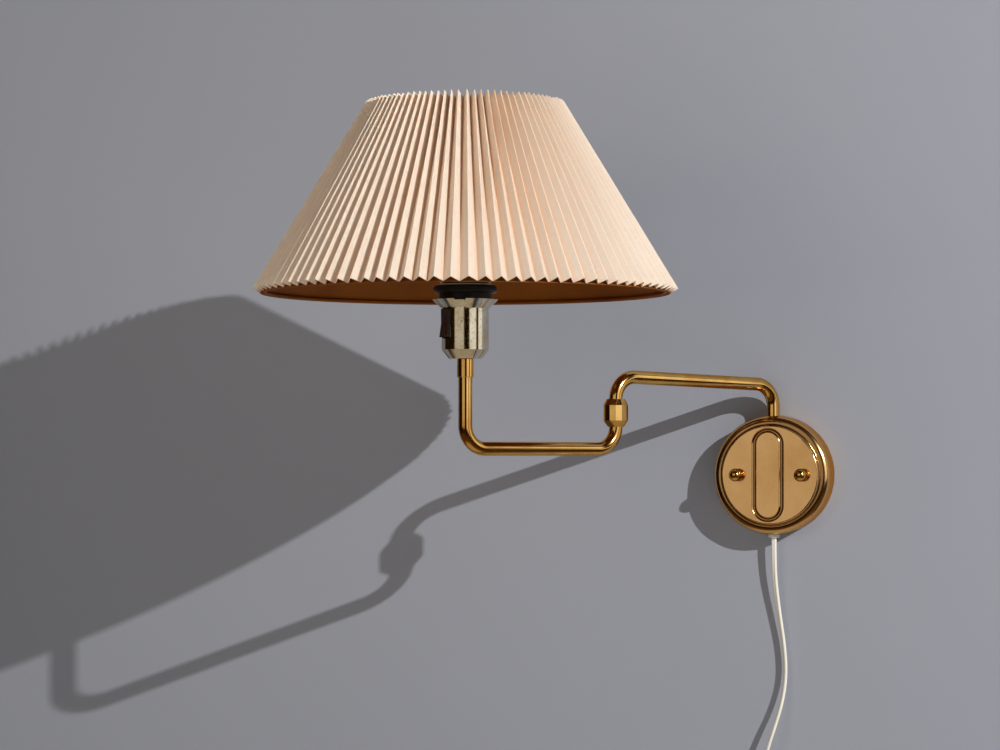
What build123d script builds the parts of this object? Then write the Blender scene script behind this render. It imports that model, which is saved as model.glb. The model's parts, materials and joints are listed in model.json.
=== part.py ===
from build123d import *
import os
from math import asin, atan2, cos, pi, radians, sin, sqrt, tan

# Articulated wall lamp with a pleated shade on two swinging brass arms.
# Millimetres. The wall is the plane Y = 0, the lamp stands out towards -Y, +Z is up,
# and the origin is the centre of the wall plate's back. The arms are drawn as they hang at rest.

os.makedirs("parts", exist_ok=True)

# Fits
turning_clearance = 0.05    # radial, a shaft that turns in its hole
fixed_clearance = 0.02      # radial, a soldered or screwed joint
face_gap = 0.1              # flat faces that turn past each other
pass_gap = 0.3              # pieces that lie side by side

# Arm layout
arm_angle = 37.0            # both arms, to the left of the wall's normal
inner_reach = 180.0
outer_reach = 160.0
pivot_offset = 12.0         # the inner riser's axis from the wall
inner_bar_height = 84.0     # the upper bar at the wall end
inner_bar_rise = 5.4        # what it gains on its way to the elbow
outer_bar_height = 24.0
tube_dia = 12.0
tube_wall = 1.25
bend_radius = 20.0
lead_dia = 5.0

# Wall plate
cover_dia = 111.0
cover_depth = 26.0
cover_wall = 2.0
face_dia = 91.0
face_step = 3.6
face_slope = 1.8
face_edge_radius = 1.1
face_foot_radius = 1.2
shoulder_radius = 7.0
oval_height = 88.0
oval_width = 31.0
oval_shift = -1.8           # the oval's axis from the plate's
groove_width = 4.8
groove_depth = 1.3
nut_spacing = 62.0
nut_ball_dia = 12.0
nut_collar_dia = 7.5
nut_collar_height = 1.6
nut_ball_sink = 0.64        # the ball, into its collar
stud_dia = 4.0
bracket_dia = 98.0
bracket_thickness = 2.0
wall_hole_spacing = 52.0
wall_hole_height = 20.0
wall_hole_dia = 5.0

# Bearing of the inner arm
bearing_foot = 18.0
bearing_height = 20.0
bearing_wall = 4.0
collar_dia = 18.0
collar_height = 4.0
washer_thickness = 0.8
retainer_height = 4.0
tube_tail = 1.5             # tube left below the retainer

# Terminals and cord inlet
terminal_size = (28.0, 11.0, 12.0)
terminal_top = -4.0
terminal_pitch = 12.0
terminal_chamfer = 1.2
terminal_screw_dia = 4.0
terminal_screw_height = 1.2
clamp_size = (26.0, 12.0, 8.0)
clamp_height = -36.0
clamp_corner = 1.5
clamp_screw_pitch = 17.0
clamp_screw_dia = 5.0
clamp_screw_height = 1.5
cord_dia = 5.0
cord_offset = 9.0           # the cord's axis from the wall at its exit
grommet_dia = 10.4
grommet_neck_dia = 8.0
grommet_lip = 3.0
grommet_edge_radius = 0.8

# Elbow
barrel_sides = 12
barrel_turn = 17.5          # the first corner, from +X
barrel_dia = 22.0
barrel_top_dia = 16.4
barrel_foot_dia = 14.2
barrel_height = 25.0
barrel_taper = 5.6
barrel_centre = 56.4
barrel_floor = 3.6
barrel_roof = 3.0
bush_dia = 17.0
flange_dia = 16.4
flange_height = 3.0

# Lamp holder
ferrule_dia = 14.2
ferrule_foot = 86.0
ferrule_height = 16.0
ferrule_socket = 8.0        # depth of the tube's seat
ferrule_chamfer = 0.4
nipple_dia = 10.0
nipple_wall = 1.0
nipple_stand = 8.0          # above the ferrule
nipple_nut_flats = 14.0
nipple_nut_height = 4.0
dome_foot_dia = 28.6
dome_height = 7.8
dome_floor = 1.5
holder_dia = 41.0
holder_wall = 1.0
holder_body_height = 35.6
spigot_height = 3.4
skirt_dia = 56.8
skirt_height = 7.8
skirt_notch_width = 10.0
skirt_notch_depth = 1.1
skirt_notch_turn = -79.0    # the notch and the lug, from +X
skirt_lug_width = 8.0
skirt_lug_drop = 1.4
skirt_lug_thickness = 0.6
neck_dia = 32.0
neck_bore = 28.0
neck_rise = 26.0            # above the skirt's floor
shell_thickness = 0.5
shell_height = 19.0
contact_dia = 10.0
contact_thickness = 0.8

# Rocker switch in the holder's outer side
rocker_height = 24.4
rocker_width = 12.0
rocker_dip = 1.1            # the hollow between its two ends
rocker_stand = 1.6          # the ends, outside the holder when level
rocker_body = 3.7           # the ends, from front to back
rocker_tilt = 4.0
rocker_gap = 0.5
rocker_end_gap = 0.7
rocker_hub_dia = 4.4
pin_dia = 2.0
pin_depth = 5.0             # the pin's axis behind the holder's outer face
pin_length = 16.0

# Shade rings
ring_sleeve_dia = 37.0
ring_sleeve_height = 3.0
ring_hub_dia = 45.0
ring_hub_height = 9.4
ring_flange_dia = 54.8
ring_flange_height = 6.6
ring_edge_radius = 2.2
clamp_ring_dia = 38.4
clamp_ring_height = 4.0

# Shade
pleat_count = 93
shade_bottom_dia = 369.0    # over the outer folds
shade_top_dia = 172.0
shade_height = 162.0
pleat_depth_bottom = 6.4
pleat_depth_top = 9.3
pleat_thickness = 0.6
lining_thickness = 0.8
shade_hang = 2.4            # the outer folds' lower ends under the ring flange's top
wire_dia = 3.0
fitter_dia = 50.0
fitter_thickness = 1.0
frame_arm_count = 3
frame_arm_foot = 23.0       # radius at the fitter
frame_arm_turn = -9.0       # the first arm, from +X
top_ring_inset = 5.0        # the upper wire ring, under the lining's top
hem_drop = 0.9              # the lining's foot, under the inner folds' ends

# Bulb
bulb_dia = 60.0
bulb_length = 106.0
bulb_cap_dia = 26.4
bulb_cap_height = 25.0
bulb_cap_wall = 0.6
bulb_wall = 1.0

# Cord, coil and plug
cord_turns = 8
coil_outer_radius = 38.4
coil_pitch = 5.6
coil_back = 4.2             # the rear layer's axis from the wall
coil_centre_x = 26.0
coil_centre_z = -330.0
cord_last_run = 12.0
plug_drop = 62.0           # from the coil to the plug
plug_swing = 7.6           # the plug, to the left of the coil's side
tie_width = 7.0
tie_thickness = 0.9
tie_slack = 0.9
plug_length = 30.0
plug_width = 26.0
plug_depth = 13.0
plug_neck_length = 18.0
plug_neck_dia = 9.0
plug_neck_tip_dia = 6.6
plug_shoulder_width = 15.6
plug_shoulder_depth = 11.7
plug_corner = 5.2
pin_plug_dia = 4.0
pin_plug_tip = 1.2
pin_plug_length = 19.0
pin_plug_spacing = 18.6

# Places worked out from the sizes above
tube_radius = tube_dia / 2
bore_radius = tube_radius - tube_wall
outward = Vector(-sin(radians(arm_angle)), -cos(radians(arm_angle)), 0)
upward = Vector(0, 0, 1)
sideways = upward.cross(outward)
pivot = Vector(0, -pivot_offset, 0)
elbow = pivot + outward * inner_reach
holder_axis = elbow + outward * outer_reach
face_plane = Plane(origin=(0, -cover_depth, 0), x_dir=(1, 0, 0), z_dir=(0, -1, 0))
bracket_plane = Plane(origin=(0, -bracket_thickness, 0), x_dir=(1, 0, 0), z_dir=(0, -1, 0))


def at(point, height):
    """The plan point lifted to a height."""
    return Vector(point.X, point.Y, height)


def level(point, height):
    """A horizontal plane with its origin on the plan point."""
    return Plane(origin=at(point, height), x_dir=(1, 0, 0), z_dir=(0, 0, 1))


def upright(point):
    """The vertical plane through a plan point, X outwards along the arm and Y up."""
    return Plane(origin=at(point, 0), x_dir=outward, z_dir=outward.cross(upward))


def finish(builder, name):
    """Label a finished piece and write it."""
    builder.part.label = name
    export_step(builder.part, f"parts/{name}.step")


# Wall plate: bracket, studs, cover and ball nuts

with BuildPart() as wall_bracket:
    with BuildSketch(Plane(origin=(0, 0, 0), x_dir=(1, 0, 0), z_dir=(0, -1, 0))):
        Circle(bracket_dia / 2)
        with Locations((0, wall_hole_height)):
            with GridLocations(wall_hole_spacing, 0, 2, 1):
                Circle(wall_hole_dia / 2, mode=Mode.SUBTRACT)
    extrude(amount=bracket_thickness)
finish(wall_bracket, "wall_bracket")

ball_centre = cover_depth + nut_collar_height + nut_ball_dia / 2 - nut_ball_sink
stud_end = ball_centre

with BuildPart() as cover_studs:
    with BuildSketch(bracket_plane):
        with GridLocations(nut_spacing, 0, 2, 1):
            Circle(stud_dia / 2)
    extrude(amount=stud_end - bracket_thickness)
finish(cover_studs, "cover_studs")


def cover_outline(inset):
    """Half of the dish in section, X from its axis and -Y its depth, drawn in by the wall."""
    depth = cover_depth - inset
    radius = cover_dia / 2 - inset
    face = face_dia / 2 - inset
    Line((0, 0), (0, -depth))
    FilletPolyline(
        (0, -depth),
        (face, -depth),
        (face + face_slope, -depth + face_step),
        (radius, -depth + face_step),
        (radius, 0),
        radius=[face_edge_radius, face_foot_radius, shoulder_radius - inset],
    )
    Line((radius, 0), (0, 0))


groove_round = (groove_width**2 / 4 + groove_depth**2) / (2 * groove_depth)
groove_side = oval_width / 2 - groove_width / 2
groove_axis = -cover_depth - groove_round + groove_depth
oval_straight = (oval_height - oval_width) / 2
riser_slot = tube_radius + 2 * pass_gap

with BuildPart() as wall_cover:
    with BuildSketch(Plane.XY):
        with BuildLine():
            cover_outline(0)
        make_face()
        with BuildLine():
            cover_outline(cover_wall)
        make_face(mode=Mode.SUBTRACT)
    revolve(axis=Axis.Y)
    with BuildSketch(Plane(origin=(oval_shift, groove_axis, -oval_straight), z_dir=(0, 0, 1))):
        with GridLocations(2 * groove_side, 0, 2, 1):
            Circle(groove_round)
    extrude(amount=2 * oval_straight, mode=Mode.SUBTRACT)
    for side in (1, -1):
        groove_place = (oval_shift + groove_side, groove_axis, side * oval_straight)
        with BuildSketch(Plane(origin=groove_place, z_dir=(0, 0, 1))):
            Circle(groove_round)
        oval_end = Axis((oval_shift, 0, side * oval_straight), (0, -side, 0))
        revolve(axis=oval_end, revolution_arc=180, mode=Mode.SUBTRACT)
    with BuildSketch(face_plane):
        with GridLocations(nut_spacing, 0, 2, 1):
            Circle(stud_dia / 2 + pass_gap)
    extrude(amount=-2 * cover_wall, mode=Mode.SUBTRACT)
    with BuildSketch(level(pivot, face_dia / 2 - cover_wall)):
        Circle(riser_slot)
        with Locations((0, pivot_offset / 2)):
            Rectangle(2 * riser_slot, pivot_offset)
    extrude(amount=cover_dia, mode=Mode.SUBTRACT)
    with BuildSketch(level(Vector(0, -cord_offset, 0), -face_dia / 2 + cover_wall)):
        Circle(grommet_neck_dia / 2 + face_gap)
        with Locations((0, cord_offset / 2)):
            Rectangle(grommet_neck_dia + 2 * face_gap, cord_offset)
    extrude(amount=-cover_dia, mode=Mode.SUBTRACT)
finish(wall_cover, "wall_cover")

with BuildPart() as cover_nuts:
    with BuildSketch(face_plane):
        with GridLocations(nut_spacing, 0, 2, 1):
            Circle(nut_collar_dia / 2)
    extrude(amount=nut_collar_height)
    with Locations((-nut_spacing / 2, -ball_centre, 0), (nut_spacing / 2, -ball_centre, 0)):
        Sphere(nut_ball_dia / 2)
    with BuildSketch(face_plane):
        with GridLocations(nut_spacing, 0, 2, 1):
            Circle(stud_dia / 2 + fixed_clearance)
    extrude(amount=stud_end - cover_depth + face_gap, mode=Mode.SUBTRACT)
    split(bisect_by=face_plane, keep=Keep.TOP)
finish(cover_nuts, "cover_nuts")

# Bearing of the inner arm, with what holds the riser in it

bearing_width = tube_dia + 2 * bearing_wall
bearing_top = bearing_foot + bearing_height

with BuildPart() as arm_bearing:
    with BuildSketch(level(pivot, bearing_foot)):
        Circle(bearing_width / 2)
        with Locations((0, (pivot_offset - bracket_thickness) / 2)):
            Rectangle(bearing_width, pivot_offset - bracket_thickness)
        Circle(tube_radius + turning_clearance, mode=Mode.SUBTRACT)
    extrude(amount=bearing_height)
finish(arm_bearing, "arm_bearing")


washer_foot = bearing_top + face_gap
collar_foot = washer_foot + washer_thickness
retainer_foot = bearing_foot - face_gap - retainer_height
soldered_radius = tube_radius + fixed_clearance

for name, foot, height in (
    ("arm_washer", washer_foot, washer_thickness),
    ("arm_collar", collar_foot, collar_height),
    ("arm_retainer", retainer_foot, retainer_height),
):
    with BuildPart() as riser_ring:
        with BuildSketch(level(pivot, foot)):
            Circle(collar_dia / 2)
            Circle(soldered_radius, mode=Mode.SUBTRACT)
        extrude(amount=height)
    finish(riser_ring, name)

# Terminal block, cord clamp and grommet inside the cover

with BuildPart() as terminal_block:
    with BuildSketch(bracket_plane):
        with Locations((0, terminal_top - terminal_size[2] / 2)):
            Rectangle(terminal_size[0], terminal_size[2])
    extrude(amount=terminal_size[1])
    chamfer(terminal_block.edges().filter_by(Axis.Y), length=terminal_chamfer)
finish(terminal_block, "terminal_block")

terminal_front = bracket_plane.offset(terminal_size[1])
with BuildPart() as terminal_screws:
    with BuildSketch(terminal_front):
        with Locations((0, terminal_top - terminal_size[2] / 2)):
            with GridLocations(terminal_pitch, 0, 2, 1):
                Circle(terminal_screw_dia / 2)
    extrude(amount=terminal_screw_height)
finish(terminal_screws, "terminal_screws")

cord_line = Vector(0, -cord_offset, 0)
clamp_foot = clamp_height - clamp_size[2] / 2

with BuildPart() as cord_clamp:
    with BuildSketch(bracket_plane):
        with Locations((0, clamp_height)):
            RectangleRounded(clamp_size[0], clamp_size[2], clamp_corner)
    extrude(amount=clamp_size[1])
    with BuildSketch(level(cord_line, clamp_foot)):
        Circle(cord_dia / 2 + face_gap)
    extrude(amount=clamp_size[2], mode=Mode.SUBTRACT)
finish(cord_clamp, "cord_clamp")

with BuildPart() as clamp_screws:
    with BuildSketch(bracket_plane.offset(clamp_size[1])):
        with Locations((0, clamp_height)):
            with GridLocations(clamp_screw_pitch, 0, 2, 1):
                Circle(clamp_screw_dia / 2)
    extrude(amount=clamp_screw_height)
finish(clamp_screws, "clamp_screws")

grommet_top = -cover_dia / 2 + cover_wall + pass_gap
grommet_seat = -cover_dia / 2 - face_gap
cord_exit = grommet_seat - grommet_lip

with BuildPart() as cord_grommet:
    with BuildSketch(Plane.XZ.offset(cord_offset)):
        with BuildLine():
            Polyline(
                (cord_dia / 2 + face_gap, cord_exit),
                (grommet_dia / 2, cord_exit),
                (grommet_dia / 2, grommet_seat),
                (grommet_neck_dia / 2, grommet_seat),
                (grommet_neck_dia / 2, grommet_top),
                (grommet_dia / 2, grommet_top),
                (grommet_dia / 2, grommet_top + cover_wall),
                (cord_dia / 2 + face_gap, grommet_top + cover_wall),
                close=True,
            )
        make_face()
    revolve(axis=Axis((0, -cord_offset, 0), (0, 0, 1)))
    lip = cord_grommet.edges().filter_by(GeomType.CIRCLE).group_by(Axis.Z)[0].sort_by(SortBy.RADIUS)
    fillet(lip[-1], radius=grommet_edge_radius)
finish(cord_grommet, "cord_grommet")

with BuildPart() as cord_tail:
    with BuildSketch(level(cord_line, cord_exit)):
        Circle(cord_dia / 2)
    extrude(amount=terminal_top - terminal_size[2] - cord_exit)
finish(cord_tail, "cord_tail")

# Inner arm: bent tube, its lead, and the elbow's fixed half

barrel_foot = barrel_centre - barrel_height / 2
barrel_top = barrel_centre + barrel_height / 2
lower_washer_foot = barrel_foot + barrel_floor
flange_foot = lower_washer_foot + washer_thickness + face_gap
flange_top = flange_foot + flange_height
upper_washer_foot = flange_top + face_gap
bush_foot = upper_washer_foot + washer_thickness
bush_top = barrel_top - barrel_roof
inner_tube_end = bush_foot + 2 * washer_thickness
inner_tube_foot = retainer_foot - tube_tail


def inner_route(foot, end, shift):
    """The inner arm's line, moved sideways in the tube."""
    return [
        at(pivot, foot) + shift,
        at(pivot, inner_bar_height) + shift,
        at(elbow, inner_bar_height + inner_bar_rise) + shift,
        at(elbow, end) + shift,
    ]


lead_shift = sideways * (nipple_dia / 2 - nipple_wall - lead_dia / 2 - face_gap)

with BuildPart() as inner_arm_tube:
    inner_tube_route = inner_route(inner_tube_foot, inner_tube_end, Vector())
    with BuildLine():
        FilletPolyline(*inner_tube_route, radius=bend_radius)
    with BuildSketch(level(pivot, inner_tube_foot)):
        Circle(tube_radius)
        Circle(bore_radius, mode=Mode.SUBTRACT)
    sweep()
finish(inner_arm_tube, "inner_arm_tube")

with BuildPart() as inner_lead:
    inner_lead_route = inner_route(inner_tube_foot - lead_dia, bush_foot, lead_shift)
    with BuildLine():
        FilletPolyline(*inner_lead_route, radius=bend_radius)
    with BuildSketch(level(pivot + lead_shift, inner_tube_foot - lead_dia)):
        Circle(lead_dia / 2)
    sweep()
finish(inner_lead, "inner_lead")

with BuildPart() as hinge_barrel:
    for height, width in (
        (barrel_foot, barrel_foot_dia),
        (barrel_foot + barrel_taper, barrel_dia),
        (barrel_top - barrel_taper, barrel_dia),
        (barrel_top, barrel_top_dia),
    ):
        with BuildSketch(level(elbow, height)):
            RegularPolygon(width / 2, barrel_sides, rotation=barrel_turn)
    loft(ruled=True)
    with BuildSketch(level(elbow, lower_washer_foot)):
        Circle(bush_dia / 2 + fixed_clearance)
    extrude(amount=bush_top - lower_washer_foot, mode=Mode.SUBTRACT)
    with BuildSketch(level(elbow, barrel_foot)):
        Circle(tube_radius + turning_clearance)
    extrude(amount=barrel_height, mode=Mode.SUBTRACT)
finish(hinge_barrel, "hinge_barrel")

with BuildPart() as hinge_bush:
    with BuildSketch(level(elbow, bush_foot)):
        Circle(bush_dia / 2)
        Circle(bore_radius, mode=Mode.SUBTRACT)
    extrude(amount=bush_top - bush_foot)
    with BuildSketch(level(elbow, inner_tube_end)):
        Circle(soldered_radius)
    extrude(amount=bush_top - inner_tube_end, mode=Mode.SUBTRACT)
finish(hinge_bush, "hinge_bush")

with BuildPart() as hinge_washers:
    for height, inner in ((lower_washer_foot, tube_radius + pass_gap), (upper_washer_foot, bore_radius)):
        with BuildSketch(level(elbow, height)):
            Circle(flange_dia / 2)
            Circle(inner, mode=Mode.SUBTRACT)
        extrude(amount=washer_thickness)
finish(hinge_washers, "hinge_washers")

# Outer arm: bent tube, its lead, the elbow's turning flange and the ferrule

ferrule_top = ferrule_foot + ferrule_height
outer_tube_end = ferrule_foot + ferrule_socket
dome_top = ferrule_top + dome_height
spigot_top = dome_top + spigot_height


def outer_route(start, end, shift):
    """The outer arm's line, moved sideways in the tube."""
    return [
        at(elbow, start) + shift,
        at(elbow, outer_bar_height) + shift,
        at(holder_axis, outer_bar_height) + shift,
        at(holder_axis, end) + shift,
    ]


with BuildPart() as outer_arm_tube:
    with BuildLine():
        FilletPolyline(*outer_route(flange_top, outer_tube_end, Vector()), radius=bend_radius)
    with BuildSketch(level(elbow, flange_top)):
        Circle(tube_radius)
        Circle(bore_radius, mode=Mode.SUBTRACT)
    sweep()
finish(outer_arm_tube, "outer_arm_tube")

with BuildPart() as outer_lead:
    with BuildLine():
        FilletPolyline(*outer_route(flange_top, spigot_top, lead_shift), radius=bend_radius)
    with BuildSketch(level(elbow + lead_shift, flange_top)):
        Circle(lead_dia / 2)
    sweep()
finish(outer_lead, "outer_lead")

with BuildPart() as hinge_flange:
    with BuildSketch(level(elbow, flange_foot)):
        Circle(flange_dia / 2)
        Circle(soldered_radius, mode=Mode.SUBTRACT)
    extrude(amount=flange_height)
finish(hinge_flange, "hinge_flange")

nipple_radius = nipple_dia / 2
nipple_top = ferrule_top + nipple_stand

with BuildPart() as riser_ferrule:
    with BuildSketch(level(holder_axis, ferrule_foot)):
        Circle(ferrule_dia / 2)
        Circle(nipple_radius + fixed_clearance, mode=Mode.SUBTRACT)
    extrude(amount=ferrule_height)
    rims = riser_ferrule.edges().filter_by(GeomType.CIRCLE).sort_by(SortBy.RADIUS)[-2:]
    chamfer(rims, length=ferrule_chamfer)
    with BuildSketch(level(holder_axis, ferrule_foot)):
        Circle(soldered_radius)
    extrude(amount=ferrule_socket, mode=Mode.SUBTRACT)
finish(riser_ferrule, "riser_ferrule")

with BuildPart() as holder_nipple:
    with BuildSketch(level(holder_axis, outer_tube_end)):
        Circle(nipple_radius)
        Circle(nipple_radius - nipple_wall, mode=Mode.SUBTRACT)
    extrude(amount=nipple_top - outer_tube_end)
finish(holder_nipple, "holder_nipple")

nut_foot = ferrule_top + dome_floor

with BuildPart() as nipple_nut:
    with BuildSketch(level(holder_axis, nut_foot)):
        RegularPolygon(nipple_nut_flats / 2, 6, major_radius=False)
        Circle(nipple_radius + fixed_clearance, mode=Mode.SUBTRACT)
    extrude(amount=nipple_nut_height)
finish(nipple_nut, "nipple_nut")

# Lamp holder: dome, shell, skirt, socket body, contacts

holder_radius = holder_dia / 2
holder_bore = holder_radius - holder_wall
holder_line = Axis(at(holder_axis, 0), (0, 0, 1))
holder_section = upright(holder_axis)
shell_top = dome_top + holder_body_height
skirt_floor = shell_top + holder_wall
skirt_top = shell_top + skirt_height
neck_top = skirt_floor + neck_rise
neck_radius = neck_dia / 2


with BuildPart() as holder_dome:
    with BuildSketch(holder_section):
        with BuildLine():
            Polyline(
                (nipple_radius + face_gap, ferrule_top),
                (dome_foot_dia / 2, ferrule_top),
                (holder_radius, dome_top),
                (holder_bore - fixed_clearance, dome_top),
                (holder_bore - fixed_clearance, spigot_top),
                (holder_bore - holder_wall, spigot_top),
                (holder_bore - holder_wall, dome_top),
                (dome_foot_dia / 2 - holder_wall, nut_foot),
                (nipple_radius + face_gap, nut_foot),
                close=True,
            )
        make_face()
    revolve(axis=holder_line)
finish(holder_dome, "holder_dome")

rocker_centre = shell_top - rocker_end_gap - pin_depth * sin(radians(rocker_tilt)) - rocker_height / 2
rocker_foot = rocker_centre - rocker_height / 2 - rocker_end_gap
window_width = rocker_width + 2 * rocker_gap
pin_reach = holder_radius - pin_depth

with BuildPart() as holder_shell:
    with BuildSketch(level(holder_axis, dome_top)):
        Circle(holder_radius)
        Circle(holder_bore, mode=Mode.SUBTRACT)
    extrude(amount=holder_body_height)
    with BuildSketch(Plane(origin=at(holder_axis, 0), x_dir=sideways, z_dir=outward)):
        with Locations((0, (rocker_foot + shell_top) / 2)):
            Rectangle(window_width, shell_top - rocker_foot)
    extrude(amount=holder_dia, mode=Mode.SUBTRACT)
finish(holder_shell, "holder_shell")

skirt_lean = atan2(skirt_dia / 2 - holder_radius, skirt_height)
skirt_shift = holder_wall / cos(skirt_lean)
notch_way = Vector(cos(radians(skirt_notch_turn)), sin(radians(skirt_notch_turn)), 0)
lug_radius = holder_radius + face_gap
lug_root = (face_gap + skirt_lug_thickness) / tan(skirt_lean)

with BuildPart() as holder_skirt:
    with BuildSketch(holder_section):
        with BuildLine():
            Polyline(
                (neck_radius + face_gap, shell_top),
                (holder_radius, shell_top),
                (skirt_dia / 2, skirt_top),
                (skirt_dia / 2 - skirt_shift, skirt_top),
                (holder_radius + holder_wall * tan(skirt_lean) - skirt_shift, skirt_floor),
                (neck_radius + face_gap, skirt_floor),
                close=True,
            )
        make_face()
    revolve(axis=holder_line)
    notch_across = notch_way.cross(upward)
    with BuildSketch(Plane(origin=at(holder_axis, skirt_top), x_dir=notch_across, z_dir=notch_way)):
        Rectangle(skirt_notch_width, 2 * skirt_notch_depth)
    extrude(amount=skirt_dia, mode=Mode.SUBTRACT)
    with BuildSketch(level(holder_axis, shell_top - skirt_lug_drop)):
        Circle(lug_radius + skirt_lug_thickness)
        Circle(lug_radius, mode=Mode.SUBTRACT)
        with Locations(Location((0, 0), skirt_notch_turn)):
            Rectangle(holder_dia, skirt_lug_width, align=(Align.MIN, Align.CENTER), mode=Mode.INTERSECT)
    extrude(amount=skirt_lug_drop + lug_root)
finish(holder_skirt, "holder_skirt")

socket_top = shell_top - face_gap
socket_radius = holder_bore - pass_gap
bore_floor = skirt_floor + contact_thickness
pocket_floor = pin_reach - rocker_hub_dia / 2 - rocker_gap
pocket_width = rocker_width + 2 * rocker_gap

with BuildPart() as socket_body:
    with BuildSketch(level(holder_axis, spigot_top)):
        Circle(socket_radius)
    extrude(amount=socket_top - spigot_top)
    with BuildSketch(level(holder_axis, socket_top)):
        Circle(neck_radius)
    extrude(amount=neck_top - socket_top)
    with BuildSketch(level(holder_axis, bore_floor)):
        Circle(neck_bore / 2)
    extrude(amount=neck_top - bore_floor, mode=Mode.SUBTRACT)
    pocket_place = at(holder_axis, 0) + outward * pocket_floor
    with BuildSketch(Plane(origin=pocket_place, x_dir=sideways, z_dir=outward)):
        with Locations((0, (rocker_foot + socket_top) / 2)):
            Rectangle(pocket_width, socket_top - rocker_foot)
    extrude(amount=holder_dia, mode=Mode.SUBTRACT)
    with BuildSketch(Plane(origin=at(holder_axis, rocker_centre) + outward * pin_reach, z_dir=sideways)):
        Circle(pin_dia / 2 + fixed_clearance)
    extrude(amount=pin_length / 2 + face_gap, both=True, mode=Mode.SUBTRACT)
finish(socket_body, "socket_body")

shell_radius = neck_bore / 2 - fixed_clearance

with BuildPart() as screw_shell:
    with BuildSketch(level(holder_axis, bore_floor)):
        Circle(shell_radius)
        Circle(shell_radius - shell_thickness, mode=Mode.SUBTRACT)
    extrude(amount=shell_height)
finish(screw_shell, "screw_shell")

with BuildPart() as centre_contact:
    with BuildSketch(level(holder_axis, bore_floor)):
        Circle(contact_dia / 2)
    extrude(amount=contact_thickness)
finish(centre_contact, "centre_contact")

# Rocker switch

rocker_point = at(holder_axis, rocker_centre) + outward * pin_reach
tilted_out = outward * cos(radians(rocker_tilt)) + upward * sin(radians(rocker_tilt))
rocker_plane = Plane(origin=rocker_point, x_dir=tilted_out, z_dir=outward.cross(upward))
rocker_front = pin_depth + rocker_stand

with BuildPart() as switch_rocker:
    with BuildSketch(rocker_plane):
        with BuildLine():
            Polyline(
                (rocker_front, -rocker_height / 2),
                (rocker_front - rocker_dip, 0),
                (rocker_front, rocker_height / 2),
                (rocker_front - rocker_body, rocker_height / 2),
                (0, rocker_hub_dia / 2),
                (0, -rocker_hub_dia / 2),
                (rocker_front - rocker_body, -rocker_height / 2),
                close=True,
            )
        make_face()
        Circle(rocker_hub_dia / 2)
        Circle(pin_dia / 2 + turning_clearance, mode=Mode.SUBTRACT)
    extrude(amount=rocker_width / 2, both=True)
finish(switch_rocker, "switch_rocker")

with BuildPart() as rocker_pin:
    with BuildSketch(Plane(origin=rocker_point, z_dir=sideways)):
        Circle(pin_dia / 2)
    extrude(amount=pin_length / 2, both=True)
finish(rocker_pin, "rocker_pin")

# Shade rings on the holder's neck

sleeve_top = skirt_floor + ring_sleeve_height
hub_top = sleeve_top + ring_hub_height
flange_ring_top = hub_top + ring_flange_height
neck_hole = neck_radius + fixed_clearance

with BuildPart() as shade_ring_lower:
    with BuildSketch(holder_section):
        with BuildLine():
            Polyline(
                (neck_hole, skirt_floor),
                (ring_sleeve_dia / 2, skirt_floor),
                (ring_sleeve_dia / 2, sleeve_top),
                (ring_hub_dia / 2, sleeve_top),
                (ring_hub_dia / 2, hub_top),
                (ring_flange_dia / 2, hub_top),
                (ring_flange_dia / 2, flange_ring_top),
                (neck_hole, flange_ring_top),
                close=True,
            )
        make_face()
    revolve(axis=holder_line)
    flange_edges = shade_ring_lower.edges().filter_by(GeomType.CIRCLE).sort_by(SortBy.RADIUS)[-2:]
    fillet(flange_edges, radius=ring_edge_radius)
finish(shade_ring_lower, "shade_ring_lower")

fitter_top = flange_ring_top + fitter_thickness

with BuildPart() as shade_ring_upper:
    with BuildSketch(level(holder_axis, fitter_top)):
        Circle(clamp_ring_dia / 2)
        Circle(neck_hole, mode=Mode.SUBTRACT)
    extrude(amount=clamp_ring_height)
finish(shade_ring_upper, "shade_ring_upper")

# Shade: pleats, lining, wire frame and bottom ring

shade_bottom = flange_ring_top - shade_hang
shade_top = shade_bottom + shade_height
fold_lean = (shade_bottom_dia - shade_top_dia) / 2 / shade_height
pleat_step = 2 * pi / pleat_count


def fold_end(outer_radius, height, depth):
    """Where an inner fold ends: the panels are cut square across the folds."""
    return outer_radius - depth, height - depth * fold_lean


def along(first, second, height):
    """Radius at a height of the line through two (radius, height) points."""
    share = (height - first[1]) / (second[1] - first[1])
    return first[0] + share * (second[0] - first[0])


def wall_shift(radius, depth):
    """Radial shift that gives a panel its thickness at that end."""
    half_pitch = radius * sin(pleat_step / 2)
    return pleat_thickness * sqrt(half_pitch**2 + depth**2) / half_pitch


outer_low = (shade_bottom_dia / 2, shade_bottom)
outer_high = (shade_top_dia / 2, shade_top)
inner_low = fold_end(*outer_low, pleat_depth_bottom)
inner_high = fold_end(*outer_high, pleat_depth_top)
shift_low = wall_shift(outer_low[0], pleat_depth_bottom)
shift_high = wall_shift(outer_high[0], pleat_depth_top)
trim = pleat_depth_top + pleat_depth_bottom
loft_bottom = shade_bottom - trim
loft_top = shade_top + trim


def pleat_folds(height, shift_bottom, shift_top):
    """The folds at a height as a star's corners, drawn in by a shift at each end."""
    corners = []
    for pleat in range(pleat_count):
        for low, high, turn in ((outer_low, outer_high, pleat), (inner_low, inner_high, pleat + 0.5)):
            radius = along((low[0] - shift_bottom, low[1]), (high[0] - shift_top, high[1]), height)
            angle = turn * pleat_step
            corners.append((radius * cos(angle), radius * sin(angle)))
    return corners


trim_reach = shade_bottom_dia / 2 + trim
trim_core = shade_top_dia / 2 - 3 * pleat_depth_top

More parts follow.
